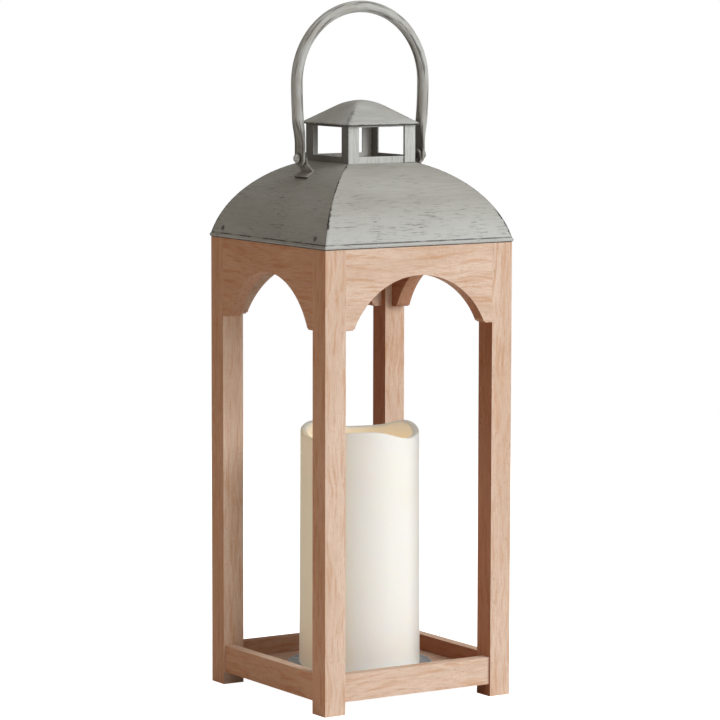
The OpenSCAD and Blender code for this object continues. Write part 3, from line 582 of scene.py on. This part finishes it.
def rivet_finish():
    """Steel darkened as painted shade round the base of its head, and shining on its high spots."""
    made, w = material("rivet_finish")
    place = w.node("TexCoord", out="Object")
    lumps = w.cloud(place, 640, 4, 0.65)
    proud = abs(split(w, place)[0]).rise(HEAD_BASE + 0.0002, HEAD_BASE + 0.0018)
    tone = lumps.rise(0.36, 0.50).mix(TAUPE_WARM, BLUE_PALE)
    # Round the base of the head, the primer colour is painted shade.
    tone = proud.mix(PRIMER, tone)
    w.surface(
        Base_Color=tone, Metallic=lumps.rise(0.58, 0.7) * 0.6, Roughness=0.62 - lumps * 0.3,
        Normal=w.bump(lumps, 0.0003))
    return made


def turned(profile, around, warp, closed=False):
    """Points and faces of a profile of (radius, height) turned about Z, each point warped."""
    points, faces = [], []
    rows = len(profile)
    for radius, height in profile:
        for k in range(around):
            angle = math.tau * k / around
            point = (radius * math.cos(angle), radius * math.sin(angle), height)
            points.append(warp(point, angle))
    for row in range(rows if closed else rows - 1):
        a, b = row * around, (row + 1) % rows * around
        faces += [(a + k, a + (k + 1) % around, b + (k + 1) % around, b + k) for k in range(around)]
    if not closed:
        faces += [tuple(reversed(range(around))), tuple(range((rows - 1) * around, rows * around))]
    return points, faces


rivet_metal = rivet_finish()
for side, name in ((-1, "rivet_left"), (1, "rivet_right")):
    low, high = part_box(name)
    middle = (low + high) / 2
    head_r = (high.z - low.z) / 2
    tail = min(abs(low.x), abs(high.x))
    turns = [math.pi / 2 * k / 12 for k in range(12)]
    dome = [(head_r * math.cos(t), HEAD_BASE + HEAD_TALL * math.sin(t)) for t in turns]
    outline = [
        (SHANK_R * 0.5, tail), (SHANK_R * 1.3, tail + 0.0002), (SHANK_R * 1.3, tail + 0.0011),
        (SHANK_R, tail + ROLL_TALL), (SHANK_R, HEAD_BASE - 0.0001), (head_r * 0.96, HEAD_BASE),
    ] + dome

    def hammered(point, angle):
        dent = 1 - 0.09 * (noise.noise(Vector(point) * HEAD_FACETS) + 0.5)
        if point[2] < HEAD_BASE:
            dent = 1
        return (point[0] * dent, point[1] * dent, point[2])

    points, faces = turned(outline, 40, hammered)
    points = [(side * z, x, middle.z + y * side) for x, y, z in points]
    rivet = piece(name + "_hammered", points, faces, rivet_metal, "lantern")
    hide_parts(name)

# ---------------------------------------------------------------- handle
# A bail bent from round tube. Its ends are hammered flat, drilled and hung on the rivets, and
# the paint there is rubbed to the primer.
TUBE_R = 0.0037
BLADE_HALF_T = 0.0012
BLADE_R = 0.0052
BLADE_RISE = 0.015
BLADE_INSET = 0.00076
LEG_BEND_R = 0.328
CROWN_DROP = 0.0479
RUBBED_BROWN = (0.070, 0.052, 0.042, 1)
NECK_FROM = 0.0075
NECK_TO = 0.030
JOGGLE_FROM = 0.006
JOGGLE_TO = 0.024

handle_low, handle_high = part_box("handle")
pivot_z = handle_low.z + BLADE_R
crown_z = pivot_z + CROWN_DROP
crown_r = handle_high.z - TUBE_R - crown_z
blade_x = crown_r - (CROWN_DROP - BLADE_RISE) ** 2 / (2 * LEG_BEND_R) - BLADE_INSET


def ease(share):
    """0 to 1 with a soft start and end."""
    share = min(max(share, 0.0), 1.0)
    return share * share * (3 - 2 * share)


def handle_line():
    """(centre, half width, half thickness) along the handle, from tip to tip."""
    leg = []
    rises = [-BLADE_R * math.cos(math.pi / 2 * k / 9) for k in range(9)]
    rises += [NECK_FROM * k / 6 for k in range(6)]
    rises += [NECK_FROM + (NECK_TO - NECK_FROM) * k / 24 for k in range(24)]
    rises += [NECK_TO + (CROWN_DROP - NECK_TO) * k / 10 for k in range(10)]
    for rise in rises:
        drop = CROWN_DROP - rise
        curve_x = crown_r - drop * drop / (2 * LEG_BEND_R)
        turn = ease((rise - NECK_FROM) / (NECK_TO - NECK_FROM))
        x = blade_x + (curve_x - blade_x) * ease((rise - JOGGLE_FROM) / (JOGGLE_TO - JOGGLE_FROM))
        width = BLADE_R + (TUBE_R - BLADE_R) * turn
        if rise < 0:
            width = math.sqrt(max(BLADE_R ** 2 - rise ** 2, 1e-8))
        thick = BLADE_HALF_T + (TUBE_R - BLADE_HALF_T) * turn
        if rise < -BLADE_R * 0.9:
            thick *= 0.75
        leg.append((Vector((x, 0, pivot_z + rise)), width, thick))
    crown = []
    for k in range(73):
        angle = math.pi * k / 72
        centre = Vector((crown_r * math.cos(angle), 0, crown_z + crown_r * math.sin(angle)))
        crown.append((centre, TUBE_R, TUBE_R))
    other = [(Vector((-c.x, 0, c.z)), w, t) for c, w, t in reversed(leg)]
    return leg + crown + other


def handle_finish():
    """The roof's paint, streaked along the tube and dark at both ends, with a little painted shade on
    faces that turn to the left.
    """
    made, w = material("handle_paint")
    at = w.node("TexCoord", out="Object")
    run = w.node("TexCoord", out="UV")
    z = split(w, at)[2]
    strokes = w.cloud(w.stretched(run, ALONG_X, 0.06, 3.0), 900, 3, 0.6)
    drawn = w.cloud(w.stretched(run, ALONG_X, 0.10, 4.0), 360, 3, 0.55)
    blotch = w.cloud(w.stretched(run, ALONG_X, 0.5, 5.0), 120, 3, 0.6)
    low = 1 - z.rise(pivot_z + 0.004, pivot_z + 0.026)
    # Faces that turn to the left are darkened a little as painted shade.
    left = 1 - w.node("SeparateXYZ", {0: w.node("NewGeometry", out="Normal")}, out="X").rise(-0.9, 0.1)
    tone = blotch.rise(0.36, 0.64).mix(TAUPE_PALE, BLUE_GREY)
    tone = (strokes.rise(0.42, 0.66) * 0.3 + left * 0.06 + low * 0.3).mix(tone, TAUPE_WARM)
    bare_and_painted_shade = (drawn + low * 0.13 + left * 0.02 + (blotch - 0.5) * 0.35).rise(0.53, 0.67)
    tone = (bare_and_painted_shade * 0.7).mix(tone, RUBBED_BROWN)
    w.surface(
        Base_Color=tone, Roughness=0.5 + strokes * 0.16, Metallic=bare_and_painted_shade * 0.15,
        Normal=w.bump(strokes * 0.5 - bare_and_painted_shade * 0.8, 0.00012))
    return made


def bail():
    """The handle: ovals that turn square where the tube is hammered flat."""
    line = handle_line()
    around = 32
    points, length, lengths = [], 0.0, []
    for i, (centre, width, thick) in enumerate(line):
        before, after = line[max(i - 1, 0)][0], line[min(i + 1, len(line) - 1)][0]
        along = (after - before).normalized()
        side = Vector((0, 1, 0)).cross(along)
        if i:
            length += (centre - line[i - 1][0]).length
        lengths.append(length)
        flat = min(max((width - thick) / BLADE_R, 0.0), 1.0)
        power = 2 / (2 + 5 * flat)
        for k in range(around):
            angle = math.tau * k / around
            c, s = math.cos(angle), math.sin(angle)
            u = math.copysign(abs(c) ** power, c) * width
            v = math.copysign(abs(s) ** power, s) * thick
            rough = 1 + 0.012 * noise.noise(Vector((length * 60, c * 1.5, s * 1.5)))
            points.append(centre + Vector((0, u * rough, 0)) + side * v * rough)
    faces = bands(0, len(line), around)
    faces += [tuple(range(around)), tuple(reversed(range(len(points) - around, len(points))))]
    made = piece("bail", points, faces, handle_finish(), "handle")
    layer = made.data.uv_layers.new(name="run")
    for poly in made.data.polygons:
        turns = [made.data.loops[i].vertex_index % around for i in poly.loop_indices]
        wrap = max(turns) - min(turns) > around / 2
        for i in poly.loop_indices:
            vertex = made.data.loops[i].vertex_index
            turn = vertex % around
            if wrap and turn < around / 2:
                turn += around
            layer.data[i].uv = (lengths[vertex // around], turn / around * math.tau * TUBE_R)
    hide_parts("handle")


bail()

# ---------------------------------------------------------------- candle
# The shell is ivory wax, cast with a wavy rim and a hollow well. The wax is smooth on the
# outside and has a painted amber glow in the well, where a plastic flame stands on a small collar.
IVORY = (0.915, 0.93, 0.92, 1)
IVORY_DEEP = (0.89, 0.82, 0.68, 1)
# Amber painted inside the well as a painted glow.
WELL_PAINTED_GLOW = (0.90, 0.74, 0.50, 1)
# Warm tint for the wax's left side, which is painted shade.
WARM_PAINTED_SHADE = (0.96, 0.74, 0.43, 1)
# Colours of the wax's emission, which is a painted glow.
WELL_GLOW = (0.40, 0.29, 0.16, 1)
WAX_GLOW = (0.112, 0.12, 0.108, 1)
RIM_WAVE = 0.0029
LIFTED = 0.016
WAX_DRAFT = 0.0008
WAX_WALL = 0.007
RIM_WALL = 0.0046
WELL_FLOOR = 0.006
# Where the warm painted shade on the wax's left side starts and where it is full.
PAINTED_SHADE_FROM, PAINTED_SHADE_TO = -0.022, -0.038

shell_low, shell_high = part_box("candle_shell")
flame_low, flame_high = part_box("flame_tip")
wax_r = shell_high.x
wax_top_r = wax_r - WAX_DRAFT
rim_z = shell_high.z - RIM_WAVE * 1.065
well_z = flame_low.z
ceiling_z = well_z - WELL_FLOOR
cavity_r = wax_r - WAX_WALL
well_r = wax_top_r - RIM_WALL
socket_r = 0.00435


def softened(outline):
    """A closed outline of (x, z, radius) corners, with each corner rounded."""
    smooth, steps = [], 6
    for i, (x, z, radius) in enumerate(outline):
        here = Vector((x, z))
        back = Vector(outline[i - 1][:2]) - here
        on = Vector(outline[(i + 1) % len(outline)][:2]) - here
        half = back.angle(on) / 2
        reach = min(radius / math.tan(half), 0.45 * back.length, 0.45 * on.length)
        start, end = here + back.normalized() * reach, here + on.normalized() * reach
        for k in range(steps + 1):
            t = k / steps
            point = (1 - t) ** 2 * start + 2 * t * (1 - t) * here + t * t * end
            smooth.append((point.x, point.y))
    return smooth


def spread(outline, longest):
    """The same closed outline with no side longer than a length."""
    points = []
    for i, start in enumerate(outline):
        end = outline[(i + 1) % len(outline)]
        count = max(1, math.ceil(math.dist(start, end) / longest))
        points += [
            (start[0] + (end[0] - start[0]) * k / count, start[1] + (end[1] - start[1]) * k / count)
            for k in range(count)
        ]
    return points


def wax():
    """Ivory wax, a little clouded, with a painted amber glow inside the well, a weak painted glow all
    over, and painted warm shade on its left side.
    """
    made, w = material("wax")
    place = w.node("TexCoord", out="Object")
    x, y, z = split(w, place)
    cloud = w.cloud(place, 26, 3)
    fine = w.cloud(place, 700, 3)
    across = w.node("CombineXYZ", {0: x, 1: y})
    out = w.node("VectorMath", {0: across}, out="Value", operation="LENGTH")
    inside = (1 - out.rise(well_r - 0.0012, well_r + 0.0022)) * z.rise(ceiling_z, well_z)
    deep = 1 - z.rise(well_z, rim_z + 0.002)
    tone = cloud.rise(0.35, 0.68).mix(IVORY, IVORY_DEEP)
    tone = (cloud.rise(0.3, 0.7) * 0.2).mix(IVORY, tone)
    # The amber inside the well is a painted glow.
    tone = (inside * (0.45 + deep * 0.4)).mix(tone, WELL_PAINTED_GLOW)
    # The left side of the wax is tinted warm as painted shade.
    tone = ((1 - x.rise(PAINTED_SHADE_TO, PAINTED_SHADE_FROM)) * (1 - inside) * 0.8).mix(tone, WARM_PAINTED_SHADE)
    w.surface(
        Base_Color=tone, Roughness=0.36 + fine * 0.16, IOR=1.44,
        # The emission is a painted glow: weak over all the wax, amber in the well.
        Emission_Color=(inside * deep).mix(WAX_GLOW, WELL_GLOW), Emission_Strength=1.0,
        Subsurface_Weight=0.3, Subsurface_Radius=(1.0, 0.62, 0.32), Subsurface_Scale=0.006,
        Normal=w.bump(fine * 0.4 + cloud * 2.0, 0.00012))
    return made


def rim_lift(point, angle):
    """Lifts the top of the wall into three waves, and lets the wall swell a little."""
    x, y, z = point
    share = ease((z - rim_z + LIFTED) / LIFTED)
    swell = 1 + 0.0022 * noise.noise(Vector((x * 18, y * 18, z * 12)))
    lift = RIM_WAVE * math.cos(3 * angle) + 0.0004 * math.sin(7 * angle + 1)
    return (x * swell, y * swell, z + share * lift)


def candle_shell():
    """The wall's outline, turned about the candle's axis."""
    section = softened([
        (wax_r, shell_low.z, 0.0022), (wax_top_r, rim_z, 0.0013),
        (well_r + 0.0002, rim_z - 0.0003, 0.0022), (well_r - 0.0015, well_z, 0.003),
        (socket_r, well_z, 0.0003), (socket_r, ceiling_z, 0.0003),
        (cavity_r, ceiling_z, 0.0015), (cavity_r, shell_low.z, 0.0006),
    ])
    points, faces = turned(spread(section, 0.004), 240, rim_lift, closed=True)
    made = piece("wax_shell", points, faces, wax(), "candle")
    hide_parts("candle_shell")


candle_shell()


def glowing(name, colour, core):
    """Translucent plastic, warmer where it is thick."""
    made, w = material(name)
    place = w.node("TexCoord", out="Object")
    cloud = w.cloud(place, 300, 2)
    w.surface(
        Base_Color=cloud.rise(0.3, 0.7).mix(colour, core), Roughness=0.32 + cloud * 0.2, IOR=1.46,
        Subsurface_Weight=0.5, Subsurface_Radius=(1.0, 0.7, 0.4), Subsurface_Scale=0.004,
        Normal=w.bump(cloud, 0.0001))
    return made


FLAME_R = 0.0052
COLLAR_R = 0.008


def flame():
    """The collar and a teardrop flame with a slight lean and twist."""
    tall = flame_high.z - flame_low.z
    section = [
        (0.0033, 0), (COLLAR_R, 0.0001), (COLLAR_R, 0.0012), (0.0076, 0.0015), (FLAME_R, 0.0018)]
    for k in range(29):
        t = k / 28
        belly = FLAME_R * math.sin(math.pi * (0.34 + 0.64 * t)) ** 0.8
        section.append((belly * (1 - 0.25 * t) + 0.0001, 0.0022 + (tall - 0.0023) * t))

    def licking(point, angle):
        x, y, z = point
        share = max(z - 0.002, 0) / tall
        pinch = 1 - 0.14 * share * (1 + math.cos(2 * angle + 5 * share))
        return (x * pinch + 0.0006 * share * share, y * pinch, flame_low.z + z)

    points, faces = turned(section, 64, licking)
    finish = glowing("flame_plastic_finish", (0.93, 0.83, 0.60, 1), (0.90, 0.70, 0.38, 1))
    made = piece("flame_tip_moulded", points, faces, finish, "candle")
    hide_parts("flame_tip")


flame()

# ---------------------------------------------------------------- candle works
# Moulded ivory plastic inside the candle holds two cells, a board and the light. The cover
# underneath turns to unlock, beside a small black slide switch.


def moulded(name, pale, deep, roughness):
    """Moulded plastic with a fine spark-eroded texture and a few marks."""
    made, w = material(name)
    place = w.node("TexCoord", out="Object")
    texture = w.cloud(place, 2600, 2)
    marks = w.cloud(place, 130, 3)
    w.surface(
        Base_Color=(marks.rise(0.35, 0.7) * 0.7 + texture * 0.2).mix(pale, deep),
        Roughness=roughness + texture * 0.14, Normal=w.bump(texture, 0.00003))
    return made


ivory_plastic = moulded("ivory_plastic", (0.80, 0.76, 0.64, 1), (0.74, 0.69, 0.55, 1), 0.42)
black_plastic = moulded("black_plastic", (0.022, 0.024, 0.026, 1), (0.035, 0.037, 0.040, 1), 0.38)
board_green = moulded("board_green", (0.035, 0.14, 0.06, 1), (0.05, 0.19, 0.085, 1), 0.35)
cell_wrap = moulded("cell_wrap", (0.10, 0.125, 0.15, 1), (0.13, 0.15, 0.165, 1), 0.3)
for name in ("battery_housing", "battery_cover"):
    round_edges(dress(name, ivory_plastic), 0.00025)
dress("led_stem", ivory_plastic)
dress("switch_body", black_plastic)
dress("power_switch", black_plastic)
dress("circuit_board", board_green)
for name in ("battery_left", "battery_right"):
    dress(name, cell_wrap)
dress("led", glowing("led_lens_finish", (0.95, 0.88, 0.62, 1), (0.92, 0.78, 0.45, 1)))
